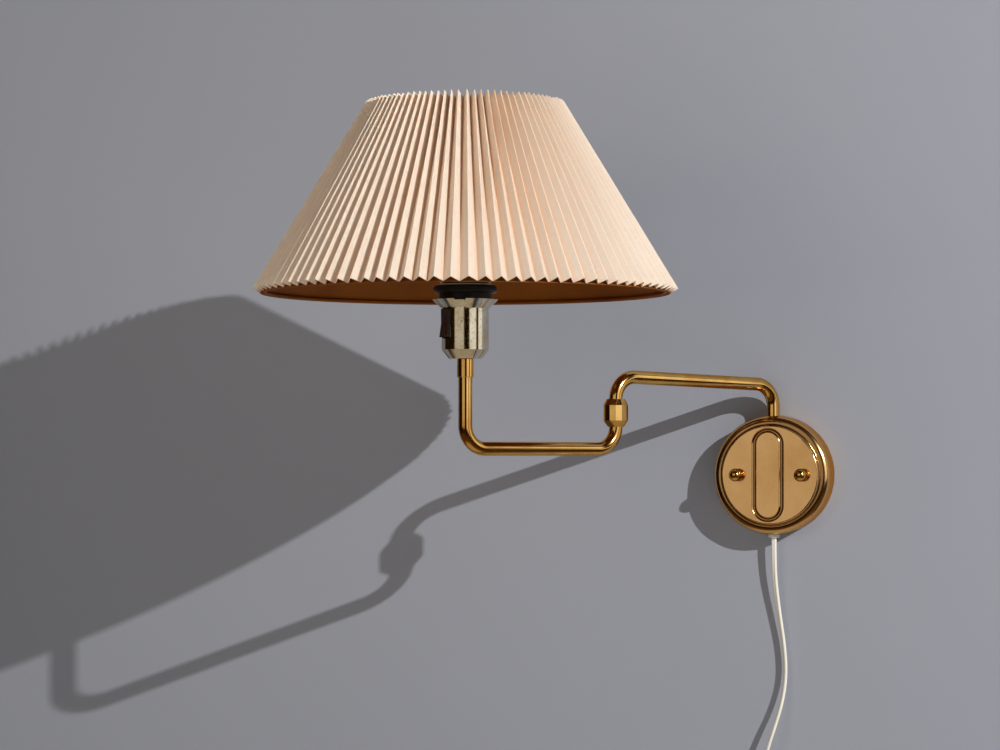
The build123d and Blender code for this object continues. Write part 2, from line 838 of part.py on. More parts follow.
with BuildPart() as shade_pleats:
    for shift_bottom, shift_top, mode in ((0, 0, Mode.ADD), (shift_low, shift_high, Mode.SUBTRACT)):
        for height in (loft_bottom, loft_top):
            with BuildSketch(level(holder_axis, height)):
                Polygon(*pleat_folds(height, shift_bottom, shift_top), align=None)
        loft(ruled=True, mode=mode)
    with BuildSketch(holder_section):
        with BuildLine():
            Polyline(
                (trim_core, outer_low[1] + (trim_core - outer_low[0]) * fold_lean),
                (trim_reach, outer_low[1] + (trim_reach - outer_low[0]) * fold_lean),
                (trim_reach, outer_high[1] + (trim_reach - outer_high[0]) * fold_lean),
                (trim_core, outer_high[1] + (trim_core - outer_high[0]) * fold_lean),
                close=True,
            )
        make_face()
    revolve(axis=holder_line, mode=Mode.INTERSECT)
finish(shade_pleats, "shade_pleats")

lining_low = (inner_low[0] - shift_low - pass_gap, inner_low[1])
lining_high = (inner_high[0] - shift_high - pass_gap, inner_high[1])
lining_skin = lining_thickness * sqrt(1 + fold_lean**2)
lining_foot = inner_low[1] - hem_drop
lining_head = inner_high[1]

with BuildPart() as shade_lining:
    with BuildSketch(holder_section):
        with BuildLine():
            Polyline(
                (along(lining_low, lining_high, lining_foot), lining_foot),
                (along(lining_low, lining_high, lining_head), lining_head),
                (along(lining_low, lining_high, lining_head) - lining_skin, lining_head),
                (along(lining_low, lining_high, lining_foot) - lining_skin, lining_foot),
                close=True,
            )
        make_face()
    revolve(axis=holder_line)
finish(shade_lining, "shade_lining")


def wire_seat(height):
    """Centre radius of a wire ring that lies against the lining at a height."""
    lining_inside = along(lining_low, lining_high, height) - lining_skin
    return lining_inside - (wire_dia / 2 + pass_gap) * sqrt(1 + fold_lean**2)


top_ring_height = lining_head - top_ring_inset
bottom_ring_height = lining_foot + wire_dia / 2
top_ring_radius = wire_seat(top_ring_height)

with BuildPart() as shade_frame:
    with BuildSketch(level(holder_axis, flange_ring_top)):
        Circle(fitter_dia / 2)
        Circle(neck_radius + pass_gap, mode=Mode.SUBTRACT)
    extrude(amount=fitter_thickness)
    with Locations(level(holder_axis, top_ring_height)):
        Torus(top_ring_radius, wire_dia / 2)
    for arm in range(frame_arm_count):
        turn = radians(frame_arm_turn + arm * 360 / frame_arm_count)
        ray = Vector(cos(turn), sin(turn), 0)
        arm_foot = at(holder_axis + ray * frame_arm_foot, flange_ring_top + fitter_thickness / 2)
        arm_head = at(holder_axis + ray * top_ring_radius, top_ring_height)
        with BuildSketch(Plane(origin=arm_foot, z_dir=arm_head - arm_foot)):
            Circle(wire_dia / 2)
        extrude(amount=(arm_head - arm_foot).length)
    split(bisect_by=level(holder_axis, flange_ring_top), keep=Keep.TOP)
finish(shade_frame, "shade_frame")

with BuildPart() as shade_bottom_ring:
    with Locations(level(holder_axis, bottom_ring_height)):
        Torus(wire_seat(bottom_ring_height), wire_dia / 2)
finish(shade_bottom_ring, "shade_bottom_ring")

# Bulb

bulb_foot = bore_floor + contact_thickness + face_gap
cap_top = bulb_foot + bulb_cap_height
bulb_radius = bulb_dia / 2
bulb_neck = bulb_cap_dia / 2 - bulb_cap_wall
globe_height = bulb_foot + bulb_length - bulb_radius

with BuildPart() as bulb_cap:
    with BuildSketch(holder_section):
        with BuildLine():
            Polyline(
                (0, bulb_foot),
                (contact_dia / 2, bulb_foot),
                (bulb_cap_dia / 2, bulb_foot + contact_dia / 2),
                (bulb_cap_dia / 2, cap_top),
                (0, cap_top),
                close=True,
            )
        make_face()
    revolve(axis=holder_line)
finish(bulb_cap, "bulb_cap")


def bulb_outline(neck, radius):
    """Half of the bulb in section: a cone from the neck that runs into the globe."""
    reach = sqrt(neck**2 + (globe_height - cap_top) ** 2)
    lean = asin(radius / reach) - atan2(neck, globe_height - cap_top)
    touch = (radius * cos(lean), globe_height - radius * sin(lean))
    shoulder = (radius * cos(pi / 4), globe_height + radius * sin(pi / 4))
    Line((0, cap_top), (neck, cap_top))
    Line((neck, cap_top), touch)
    ThreePointArc(touch, shoulder, (0, globe_height + radius))
    Line((0, globe_height + radius), (0, cap_top))


with BuildPart() as bulb_glass:
    with BuildSketch(holder_section):
        with BuildLine():
            bulb_outline(bulb_neck, bulb_radius)
        make_face()
        with BuildLine():
            bulb_outline(bulb_neck - bulb_wall, bulb_radius - bulb_wall)
        make_face(mode=Mode.SUBTRACT)
    revolve(axis=holder_line)
finish(bulb_glass, "bulb_glass")

# Cord: a free run down the wall, then a neat coil and the plug

coil_front = coil_back + coil_pitch
coil_start = Vector(coil_centre_x - coil_outer_radius, -coil_back, coil_centre_z)
coil_mouth = coil_start + upward * cord_dia
cord_points = [
    Vector(0, -cord_offset, cord_exit),
    Vector(0, -cord_offset, -73),
    Vector(0.3, -7.4, -98),
    Vector(3.6, -5.2, -128),
    Vector(8.6, -4.0, -161),
    Vector(10.2, -4.4, -188),
    Vector(7.6, -7.8, -212),
    Vector(1.8, -12.8, -235),
    Vector(-4.8, -14.6, -256),
    Vector(-10.0, -12.0, -277),
    Vector(-12.8, -7.4, -296),
    coil_mouth + upward * cord_last_run,
    coil_mouth,
]


def corner_radii(points):
    """The largest bend at each corner: 0.45 of the shorter run, over the tangent of half the turn."""
    radii = []
    for before, corner, after in zip(points, points[1:], points[2:]):
        run = min((corner - before).length, (after - corner).length)
        turn = (corner - before).get_angle(after - corner)
        radii.append(0.45 * run / tan(radians(turn) / 2))
    return radii


cord_radii = corner_radii(cord_points)
with BuildPart() as cord:
    with BuildLine() as cord_path:
        FilletPolyline(*cord_points, radius=cord_radii)
    with BuildSketch(Plane(origin=cord_points[0], z_dir=cord_points[1] - cord_points[0])):
        Circle(cord_dia / 2)
    sweep()
finish(cord, "cord")
cord_run = cord_path.wires()[0].length
print("cord bend radii", [round(radius) for radius in cord_radii])
cord_section = pi * cord_dia**2 / 4
print("cord run", round(cord_run), "volume ratio", round(cord.part.volume / (cord_run * cord_section), 4))

coil_reversal = cord_turns / 2
climb_turns = 0.5


def coil_point(turns):
    """A point and its direction on the winding: in on the rear layer, out on the front one."""
    angle = pi + 2 * pi * turns
    inward = coil_reversal - abs(turns - coil_reversal)
    radius = coil_outer_radius - coil_pitch * inward
    climb = (turns - coil_reversal) / climb_turns + 0.5
    depth = coil_back + coil_pitch * min(1, max(0, climb))
    point = Vector(coil_centre_x + radius * cos(angle), -depth, coil_centre_z + radius * sin(angle))
    return point, Vector(-sin(angle), 0, cos(angle))


with BuildPart() as cord_coil:
    with BuildLine() as coil_path:
        Line(coil_mouth, coil_start)
        stops = [quarter / 4 for quarter in range(4 * cord_turns + 1)]
        for first, last in zip(stops, stops[1:]):
            start, start_way = coil_point(first)
            end, end_way = coil_point(last)
            chord = end - start
            ways = start_way + end_way
            bend = 2 * (1 - start_way.dot(end_way))
            pull = (sqrt(chord.dot(ways) ** 2 + bend * chord.dot(chord)) - chord.dot(ways)) / bend
            lead_out = start + start_way * pull
            lead_in = end - end_way * pull
            middle = (lead_out + lead_in) * 0.5
            TangentArc(start, middle, tangent=start_way)
            TangentArc(middle, end, tangent=lead_in - lead_out)
        coil_end, coil_end_way = coil_point(cord_turns)
        coil_tail = coil_end + coil_end_way * cord_dia
        Line(coil_end, coil_tail)
    with BuildSketch(Plane(origin=coil_mouth, z_dir=-upward)):
        Circle(cord_dia / 2)
    sweep()
finish(cord_coil, "cord_coil")

coil_wire = coil_path.wires()[0]
coil_length = coil_wire.length
samples = 900
beads = [coil_wire @ (index / samples) for index in range(samples + 1)]
apart = int(6 * cord_dia * samples / coil_length)
least = min(
    (beads[first] - beads[second]).length
    for first in range(samples + 1)
    for second in range(first + apart, samples + 1)
)
print("coil length", round(coil_length), "least gap to itself", round(least - cord_dia, 2))

tie_turn = 0.5              # the tie stands half a turn from the coil's ends
bundle_inner = coil_outer_radius - coil_pitch * (coil_reversal - tie_turn) - cord_dia / 2 - tie_slack
bundle_outer = coil_outer_radius - coil_pitch * tie_turn + cord_dia / 2 + tie_slack
bundle_back = coil_back - cord_dia / 2 - pass_gap
bundle_front = coil_front + cord_dia / 2 + pass_gap

with BuildPart() as cord_tie:
    tie_plane = Plane(origin=(coil_centre_x, 0, coil_centre_z), x_dir=(1, 0, 0), z_dir=(0, 0, 1))
    with BuildSketch(tie_plane.offset(-tie_width / 2)):
        with Locations(((bundle_inner + bundle_outer) / 2, -(bundle_back + bundle_front) / 2)):
            tie_length = bundle_outer - bundle_inner
            tie_depth = bundle_front - bundle_back
            Rectangle(tie_length + 2 * tie_thickness, tie_depth + 2 * tie_thickness)
            Rectangle(tie_length, tie_depth, mode=Mode.SUBTRACT)
    extrude(amount=tie_width)
finish(cord_tie, "cord_tie")

plug_line = Vector(coil_tail.X - plug_swing, coil_tail.Y - pass_gap, 0)
plug_top = coil_tail.Z - plug_drop
plug_shoulder = plug_top - plug_neck_length
plug_face = plug_shoulder - plug_length
end_points = [
    coil_tail,
    coil_tail - upward * cord_last_run,
    coil_tail + Vector(-1.9, -0.1, -24.8),
    coil_tail + Vector(-5.7, -0.2, -37.2),
    at(plug_line, plug_top + cord_last_run),
    at(plug_line, plug_top),
]

end_radii = corner_radii(end_points)
with BuildPart() as cord_end:
    with BuildLine() as end_path:
        FilletPolyline(*end_points, radius=end_radii)
    with BuildSketch(Plane(origin=end_points[0], z_dir=-upward)):
        Circle(cord_dia / 2)
    sweep()
finish(cord_end, "cord_end")
print("cord end radii", [round(radius) for radius in end_radii], "run", round(end_path.wires()[0].length))

with BuildPart() as plug_body:
    with BuildSketch(level(plug_line, plug_top)):
        Circle(plug_neck_tip_dia / 2)
    with BuildSketch(level(plug_line, plug_shoulder)):
        Circle(plug_neck_dia / 2)
    loft()
    with BuildSketch(level(plug_line, plug_shoulder)):
        RectangleRounded(plug_shoulder_width, plug_shoulder_depth, plug_corner)
    with BuildSketch(level(plug_line, plug_face)):
        RectangleRounded(plug_width, plug_depth, plug_corner)
    loft()
finish(plug_body, "plug_body")

with BuildPart() as plug_pins:
    with BuildSketch(level(plug_line, plug_face)):
        with GridLocations(pin_plug_spacing, 0, 2, 1):
            Circle(pin_plug_dia / 2)
    extrude(amount=-pin_plug_length)
    tips = plug_pins.edges().filter_by(GeomType.CIRCLE).group_by(Axis.Z)[0]
    fillet(tips, radius=pin_plug_tip)
finish(plug_pins, "plug_pins")
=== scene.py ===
"""Articulated wall lamp: brass swing arms, a nickel lamp holder and a pleated linen shade."""

import json
from math import acos, atan2, cos, pi, radians, sin

import bmesh
import bpy
from mathutils import Matrix, Vector


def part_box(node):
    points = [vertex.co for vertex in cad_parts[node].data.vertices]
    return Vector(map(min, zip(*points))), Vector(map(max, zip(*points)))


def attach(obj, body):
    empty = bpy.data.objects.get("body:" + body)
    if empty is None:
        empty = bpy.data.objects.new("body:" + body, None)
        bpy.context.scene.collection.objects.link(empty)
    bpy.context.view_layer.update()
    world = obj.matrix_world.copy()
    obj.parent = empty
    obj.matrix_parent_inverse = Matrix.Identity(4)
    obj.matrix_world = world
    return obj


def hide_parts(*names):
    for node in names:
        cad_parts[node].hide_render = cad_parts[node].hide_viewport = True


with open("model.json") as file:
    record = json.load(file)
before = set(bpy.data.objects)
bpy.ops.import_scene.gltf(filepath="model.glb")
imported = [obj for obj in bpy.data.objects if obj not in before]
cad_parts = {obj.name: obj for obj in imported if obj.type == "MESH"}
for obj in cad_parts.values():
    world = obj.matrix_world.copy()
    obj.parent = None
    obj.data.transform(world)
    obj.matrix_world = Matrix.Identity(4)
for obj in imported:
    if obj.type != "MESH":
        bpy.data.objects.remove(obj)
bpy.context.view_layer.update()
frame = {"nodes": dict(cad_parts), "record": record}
nodes = frame["nodes"]

MM = 0.001

# Camera: where the photograph was taken from
CAMERA_PLACE = Vector((0.6545, -2.556, 0.0186))
CAMERA_YAW = radians(20)
CAMERA_LENS = 100.8
CAMERA_RISE = 0.08

# Light: a small key lamp at the right and a soft warm fill at the left
KEY_PLACE = (2.83, -1.85, 1.53)
KEY_TARGET = (-0.15, -0.1, 0.05)
KEY_SIZE = 0.03
KEY_WATTS = 115
FILL_PLACE = (-0.65, -1.25, 0.3)
FILL_TARGET = (-0.2, -0.28, 0.24)
FILL_SIZE = 0.6
FILL_WATTS = 2.5
FILL_COLOUR = (1.0, 0.86, 0.7)

# Room: its soft light, a little stronger from the left, and what metal mirrors of it: levels by degrees,
# to the right of the front or above the horizon, and the colour that each level takes
ROOM_FILL = 0.125
ROOM_LEAN = 0.06
ROOM_TONES = ((0, (0, 0, 0)), (0.12, (0.12, 0.065, 0.02)), (0.45, (0.45, 0.4, 0.31)), (1, (1, 1, 1)))
ROOM_AROUND = (
    (-180, 0), (-35, 0), (-30, 0.57), (12, 0.57), (16, 0), (39, 0), (43, 0.95), (74, 0.95), (77, 0),
    (86, 0), (89, 0.95), (112, 0.95), (120, 0), (180, 0),
)
ROOM_BAND = ((-8, 0), (-4, 1), (24, 1), (32, 0.15), (50, 0))
ROOM_ENDS = (
    (-90, 0.4), (-58, 0.36), (-46, 0.08), (-24, 0.08), (-20, 0.012), (50, 0.012), (90, 0.06),
)

# Stage: a square of painted wall and a square of floor
WALL_SIZE = 4.5
WALL_PLACE = (-1.65, 0.6 * MM, 0)
FLOOR_SIZE = 9
FLOOR_PLACE = (0, -4.4, -0.9)

# Wall plate: the middles of the hollows where a painted dark reflection darkens the brass, and how far
# off it ends and is full
OVAL_SHIFT = -1.8 * MM
OVAL_STRAIGHT = 57.0 * MM
OVAL_RADIUS = 13.1 * MM
OVAL_PAINTED_DARK = (2.4 * MM, 1.4 * MM)
RIM_RADIUS = 48.6 * MM
RIM_PAINTED_DARK = (3.0 * MM, 1.5 * MM)

# Shade cloth: its pleats, and the small unevenness of sewn linen
PLEATS = 93
PLEAT_ROWS = 18
PLEAT_DEPTH_LOW = 6.4 * MM
PLEAT_DEPTH_HIGH = 9.3 * MM
SHADE_TOP_RADIUS = 86.0 * MM
PLEAT_UNEVENNESS = 0.06
PLEAT_WAVES = (5, 11, 23)
PLEAT_WIDEST = radians(-70)
FOLD_LEAN = 0.608
FOLD_WANDER = 0.55 * MM
FOLD_SEED = 11
CLOTH_WANDER = 0.12 * MM
CLOTH_SEED = 5
CLOTH_THICKNESS = 0.6 * MM
CLOTH_SMOOTHING = radians(28)
FOLD_WIDTH = 0.8 * MM
FOLD_SEGMENTS = 3
FOLD_SHARPNESS = radians(30)

# Cord: flat two-core flex that twists a little at each point on its way down, and its coil
CORD_WIDTH = 5.0 * MM
CORD_CORE_RADIUS = 1.55 * MM
CORE_STEPS = 8
CORD_STEPS = 8
CORD_TWIST = 0.16
CORD_SMOOTHING = radians(40)
COIL_TURNS = 8
COIL_STEPS = 16
COIL_RADIUS = 38.4 * MM
COIL_PITCH = 5.6 * MM
COIL_BACK = 4.2 * MM
COIL_CLIMB = 0.5
COIL_CENTRE = Vector((26, 0, -330)) * MM


class Socket:
    """A node's output that takes part in Python arithmetic; each operation adds a Math node."""

    def __init__(self, tree, output=None):
        self.tree = tree
        self.output = output

    def node(self, kind, settings=None, inputs=None, output=0):
        """Add a node: its settings first, then the values or links of its sockets."""
        made = self.tree.nodes.new(kind)
        for name, value in (settings or {}).items():
            if name == "stops":
                ramp = made.color_ramp.elements
                while len(ramp) < len(value):
                    ramp.new(0.5)
                for element, (place, colour) in zip(ramp, value):
                    element.position = place
                    element.color = colour
            else:
                setattr(made, name, value)
        for name, value in (inputs or {}).items():
            if isinstance(value, Socket):
                self.tree.links.new(value.output, made.inputs[name])
            else:
                made.inputs[name].default_value = value
        return Socket(self.tree, made.outputs[output])

    def math(self, operation, first, second=0.0):
        """One Math node; an operation on a single value ignores the second."""
        return self.node("ShaderNodeMath", {"operation": operation}, {0: first, 1: second})

    def steps(self, value, low, high):
        """A value stretched so that low gives 0 and high gives 1."""
        return self.node(
            "ShaderNodeMapRange", inputs={"Value": value, "From Min": low, "From Max": high}
        )

    def mix(self, share, first, second):
        """Two colours mixed by a share."""
        return self.node(
            "ShaderNodeMix", {"data_type": "RGBA"}, {0: share, 6: first, 7: second}, output=2
        )

    def __add__(self, other):
        return self.math("ADD", self, other)

    def __sub__(self, other):
        return self.math("SUBTRACT", self, other)

    def __rsub__(self, other):
        return self.math("SUBTRACT", other, self)

    def __mul__(self, other):
        return self.math("MULTIPLY", self, other)

    def __pow__(self, other):
        return self.math("POWER", self, other)

    __radd__ = __add__
    __rmul__ = __mul__


class Finish(Socket):
    """A material with one Principled shader, and the textures that the finishes share."""

    def __init__(self, name):
        self.material = bpy.data.materials.new(name)
        self.material.use_nodes = True
        super().__init__(self.material.node_tree)
        self.shader = self.tree.nodes["Principled BSDF"]
        self.place = self.node("ShaderNodeTexCoord", output="Object")

    def set(self, **values):
        """Give the shader's sockets values or links; underscores stand for spaces."""
        for name, value in values.items():
            socket = self.shader.inputs[name.replace("_", " ")]
            if isinstance(value, Socket):
                self.tree.links.new(value.output, socket)
            else:
                socket.default_value = value
        return self

    def noise(self, scale, detail=3.0, roughness=0.55, stretch=(1, 1, 1), source=None):
        """Noise from 0 to 1, by its spots to the metre, on Object coordinates or another source."""
        spread = self.node(
            "ShaderNodeMapping", inputs={"Vector": source or self.place, "Scale": stretch}
        )
        return self.node(
            "ShaderNodeTexNoise",
            inputs={"Vector": spread, "Scale": scale, "Detail": detail, "Roughness": roughness},
        )

    def bump(self, height, distance, strength=1.0):
        """Relief of a height from 0 to 1, that many metres deep."""
        relief = self.node(
            "ShaderNodeBump", inputs={"Height": height, "Distance": distance, "Strength": strength}
        )
        return self.set(Normal=relief)


def rgb(red, green, blue):
    """A colour written as it shows on screen, 0 to 255, in linear light."""
    linear = []
    for value in (red, green, blue):
        share = value / 255
        linear.append(share / 12.92 if share <= 0.04045 else ((share + 0.055) / 1.055) ** 2.4)
    return (*linear, 1.0)


# Finishes


def polished_brass():
    """Polished tube with a warm film of tarnish and fine handling marks."""
    brass = Finish("polished_brass")
    film = brass.steps(brass.noise(38, 4), 0.35, 0.72)
    specks = brass.steps(brass.noise(420, 2), 0.66, 0.76)
    marks = brass.noise(900, 2, stretch=(1, 1, 0.06))
    colour = brass.mix(film * 0.85, rgb(240, 194, 116), rgb(206, 146, 68))
    colour = brass.mix(specks * 0.4, colour, rgb(128, 86, 38))
    brass.set(Base_Color=colour, Metallic=1.0, Specular_Tint=rgb(230, 190, 140))
    brass.set(Roughness=0.08 + film * 0.06 + specks * 0.14 + marks * 0.03)
    brass.bump(marks, 0.02 * MM, 0.15)
    return brass.material


def plate_brass():
    """Spun plate: fine turning marks, satin lacquer, a few dull patches, and a painted dark reflection
    in the hollows.
    """
    brass = Finish("plate_brass")
    grain = brass.noise(2600, 2, stretch=(1, 1, 0.04))
    dull = brass.steps(brass.noise(26, 4), 0.38, 0.7)
    spots = brass.steps(brass.noise(310, 3), 0.66, 0.76)
    colour = brass.mix(dull * 0.6, rgb(238, 192, 132), rgb(222, 168, 106))
    colour = brass.mix(spots * 0.3, colour, rgb(140, 98, 52))
    across, height = (
        brass.node("ShaderNodeSeparateXYZ", inputs={0: brass.place}, output=axis) for axis in "XZ"
    )
    past_oval = brass.math("MAXIMUM", brass.math("ABSOLUTE", height) - OVAL_STRAIGHT / 2, 0.0)
    from_oval = ((across - OVAL_SHIFT) ** 2 + past_oval**2) ** 0.5
    from_axis = (across**2 + height**2) ** 0.5
    # Painted dark reflection: the base colour is darkened along the oval groove and the ring round the
    # face, standing in for the dark room that these hollows mirror.
    groove_painted_dark = brass.steps(brass.math("ABSOLUTE", from_oval - OVAL_RADIUS), *OVAL_PAINTED_DARK)
    rim_painted_dark = brass.steps(brass.math("ABSOLUTE", from_axis - RIM_RADIUS), *RIM_PAINTED_DARK)
    colour = brass.mix(groove_painted_dark * 0.6 + rim_painted_dark * 0.5, colour, rgb(104, 62, 24))
    brass.set(Base_Color=colour, Metallic=1.0, Specular_Tint=rgb(230, 190, 140))
    brass.set(Roughness=0.12 + grain * 0.05 + dull * 0.05 + spots * 0.08)
    brass.bump(grain, 0.015 * MM, 0.2)
    return brass.material


def plain_brass():
    """Turned brass that only shows inside the fittings."""
    brass = Finish("plain_brass")
    turning = brass.noise(1500, 2, stretch=(0.1, 0.1, 1))
    brass.set(Base_Color=brass.mix(turning * 0.5, rgb(206, 166, 92), rgb(160, 118, 58)))
    brass.set(Metallic=1.0, Roughness=0.28 + turning * 0.15)
    return brass.material


def worn_nickel():
    """Nickel plate that has yellowed and pitted."""
    nickel = Finish("worn_nickel")
    haze = nickel.steps(nickel.noise(60, 4), 0.35, 0.7)
    pits = nickel.steps(nickel.noise(520, 3, 0.6), 0.6, 0.7)
    bare = nickel.steps(nickel.noise(140, 4), 0.58, 0.68)
    colour = nickel.mix(haze * 0.7, rgb(228, 219, 200), rgb(200, 181, 144))
    colour = nickel.mix(bare * 0.4, colour, rgb(190, 158, 104))
    colour = nickel.mix(pits * 0.7, colour, rgb(84, 70, 52))
    nickel.set(Base_Color=colour, Metallic=1.0)
    nickel.set(Roughness=0.05 + haze * 0.08 + pits * 0.30)
    nickel.bump(1 - pits, 0.05 * MM, 0.4)
    return nickel.material


def black_bakelite():
    """Moulded black rings, satin with a dusty bloom."""
    black = Finish("black_bakelite")
    bloom = black.steps(black.noise(90, 4), 0.4, 0.75)
    grain = black.noise(1800, 2)
    black.set(Base_Color=black.mix(bloom * 0.5, rgb(24, 21, 19), rgb(48, 42, 37)))
    black.set(Roughness=0.32 + bloom * 0.16 + grain * 0.06)
    black.bump(grain, 0.03 * MM, 0.2)
    return black.material


def brown_bakelite():
    """Moulded switch rocker, dark brown and worn shiny."""
    brown = Finish("brown_bakelite")
    swirl = brown.steps(brown.noise(160, 4, 0.65), 0.35, 0.7)
    brown.set(Base_Color=brown.mix(swirl, rgb(46, 27, 17), rgb(74, 43, 25)))
    brown.set(Roughness=0.24 + swirl * 0.14)
    return brown.material


def zinc_steel():
    """Zinc-plated fittings behind the plate."""
    steel = Finish("zinc_steel")
    spangle = steel.noise(180, 3)
    steel.set(Base_Color=steel.mix(spangle, rgb(186, 188, 190), rgb(150, 153, 156)))
    steel.set(Metallic=1.0, Roughness=0.32 + spangle * 0.15)
    return steel.material


def red_fibre():
    """Vulcanised fibre washers."""
    fibre = Finish("red_fibre")
    strands = fibre.noise(900, 3, stretch=(1, 1, 0.2))
    fibre.set(Base_Color=fibre.mix(strands, rgb(126, 48, 32), rgb(92, 34, 24)))
    fibre.set(Roughness=0.6 + strands * 0.15)
    return fibre.material


def white_plastic():
    """Moulded white pieces, a little yellowed."""
    white = Finish("white_plastic")
    age = white.steps(white.noise(45, 3), 0.35, 0.75)
    skin = white.noise(2200, 2)
    white.set(Base_Color=white.mix(age * 0.6, rgb(240, 236, 226), rgb(226, 216, 196)))
    white.set(Roughness=0.38 + skin * 0.12)
    white.bump(skin, 0.02 * MM, 0.2)
    return white.material


def flex_sheath():
    """Cream cord sheath with the soft marks of old coiling."""
    sheath = Finish("flex_sheath")
    age = sheath.steps(sheath.noise(30, 3), 0.35, 0.75)
    scuffs = sheath.steps(sheath.noise(700, 3), 0.62, 0.74)
    colour = sheath.mix(age * 0.7, rgb(252, 247, 234), rgb(244, 234, 214))
    sheath.set(Base_Color=sheath.mix(scuffs * 0.3, colour, rgb(196, 180, 150)))
    sheath.set(Roughness=0.36 + scuffs * 0.2)
    return sheath.material


def pleated_linen():
    """Plain-woven linen: slubby threads along and across each pleat, with painted shade, warm and dark,
    in the inner folds and a painted highlight along the outer folds.
    """
    linen = Finish("pleated_linen")
    flat = linen.node("ShaderNodeTexCoord", output="UV")
    warp = linen.noise(1.0, 2, stretch=(1500, 14, 1), source=flat)
    weft = linen.noise(1.0, 2, stretch=(60, 420, 1), source=flat)
    slubs = linen.steps(linen.noise(1.0, 3, stretch=(260, 240, 1), source=flat), 0.5, 0.75)
    patches = linen.steps(linen.noise(14, 3), 0.35, 0.7)
    ridge = linen.node("ShaderNodeAttribute", {"attribute_name": "ridge"}, output="Fac")
    weave = warp * 0.5 + weft * 0.5
    colour = linen.mix(weave, rgb(226, 205, 184), rgb(246, 231, 214))
    colour = linen.mix(slubs * 0.35, colour, rgb(212, 182, 152))
    colour = linen.mix(patches * 0.25, colour, rgb(232, 206, 180))
    # Painted shade: the inner folds are darkened to a warm tan.
    colour = linen.mix(linen.steps(ridge, 0.45, 0.0) * 0.45, colour, rgb(218, 164, 112))
    # Painted highlight: the outer folds are lightened.
    colour = linen.mix(linen.steps(ridge, 0.86, 1.0) * 0.7, colour, rgb(250, 237, 220))
    linen.set(Base_Color=colour, Roughness=0.82, Sheen_Weight=0.12, Sheen_Roughness=0.5)
    linen.shader.subsurface_method = "BURLEY"
    linen.set(Subsurface_Weight=0.4, Subsurface_Scale=4 * MM, Subsurface_Radius=(1.0, 0.5, 0.25))
    linen.bump(weave, 0.12 * MM, 0.5)
    return linen.material


def shade_lining():
    """Smooth lining sheet, yellowed by the bulb."""
    lining = Finish("shade_lining")
    cloud = lining.steps(lining.noise(22, 4), 0.3, 0.75)
    grain = lining.noise(900, 2)
    lining.set(Base_Color=lining.mix(cloud, rgb(157, 88, 13), rgb(136, 71, 8)))
    lining.set(Roughness=0.55 + grain * 0.15, Specular_IOR_Level=0.2)
    return lining.material


def white_wire():
    """Dip-coated wire of the shade's frame, with specks of rust."""
    coat = Finish("white_wire")
    rust = coat.steps(coat.noise(260, 3), 0.64, 0.74)
    coat.set(Base_Color=coat.mix(rust * 0.6, rgb(214, 206, 190), rgb(128, 92, 62)))
    coat.set(Roughness=0.45 + rust * 0.25)
    return coat.material


def opal_glass():
    """Opal bulb glass with a trace of dust."""
    glass = Finish("opal_glass")
    dust = glass.steps(glass.noise(120, 3), 0.45, 0.8)
    glass.set(Base_Color=glass.mix(dust * 0.4, rgb(240, 238, 232), rgb(216, 210, 198)))
    glass.set(Roughness=0.12 + dust * 0.25, Coat_Weight=0.4)
    return glass.material


def spun_aluminium():
    """The bulb's cap, with fine rings from spinning."""
    cap = Finish("spun_aluminium")
    rings = cap.noise(1600, 2, stretch=(0.08, 0.08, 1))
    cap.set(Base_Color=cap.mix(rings, rgb(204, 204, 202), rgb(170, 170, 168)))
    cap.set(Metallic=1.0, Roughness=0.3 + rings * 0.15)
    return cap.material


def black_tie():
    """Cord tie of soft black plastic."""
    tie = Finish("black_tie")
    ribs = tie.noise(1400, 2, stretch=(1, 1, 0.1))
    tie.set(Base_Color=tie.mix(ribs, rgb(28, 28, 29), rgb(50, 50, 52)), Roughness=0.5 + ribs * 0.15)
    return tie.material


finishes = {
    "brass_polished": polished_brass(),
    "brass_plate": plate_brass(),
    "brass_inner": plain_brass(),
    "nickel": worn_nickel(),
    "bakelite_black": black_bakelite(),
    "bakelite_brown": brown_bakelite(),
    "zinc_steel": zinc_steel(),
    "fibre": red_fibre(),
    "white_plastic": white_plastic(),
    "plug_nickel": worn_nickel(),
    "cord_white": flex_sheath(),
    "tie_black": black_tie(),
    "shade_fabric": pleated_linen(),
    "shade_lining": shade_lining(),
    "wire_white": white_wire(),
    "bulb_glass": opal_glass(),
    "bulb_cap": spun_aluminium(),
}


def dress(piece, slot):
    """Give a piece its one finish."""
    piece.data.materials.clear()
    piece.data.materials.append(finishes[slot])


for part in frame["record"]["subparts"]:
    dress(nodes[part["node"]], part["material_slot"])


# Modelling helpers


def start_piece(name):
    """Name the object that an operator has just added."""
    piece = bpy.context.active_object
    piece.name = name
    piece.data.name = name
    return piece


def clear_selection():
    """Leave nothing selected, so that an operator reaches only what it adds."""
    if bpy.context.mode != "OBJECT":
        bpy.ops.object.mode_set(mode="OBJECT")
    bpy.ops.object.select_all(action="DESELECT")


def settle(piece):
    """Put a piece's place into its mesh."""
    clear_selection()
    piece.select_set(True)
    bpy.context.view_layer.objects.active = piece
    bpy.ops.object.transform_apply(location=True, rotation=True, scale=True)


def pick_vertices(piece, chosen):
    """Select a piece's vertices by their place, in edit mode."""
    bpy.context.view_layer.objects.active = piece
    bpy.ops.object.mode_set(mode="EDIT")
    bpy.ops.mesh.select_mode(type="VERT")
    mesh = bmesh.from_edit_mesh(piece.data)
    for vertex in mesh.verts:
        vertex.select_set(chosen(vertex.co))
    mesh.select_flush_mode()
    bmesh.update_edit_mesh(piece.data)


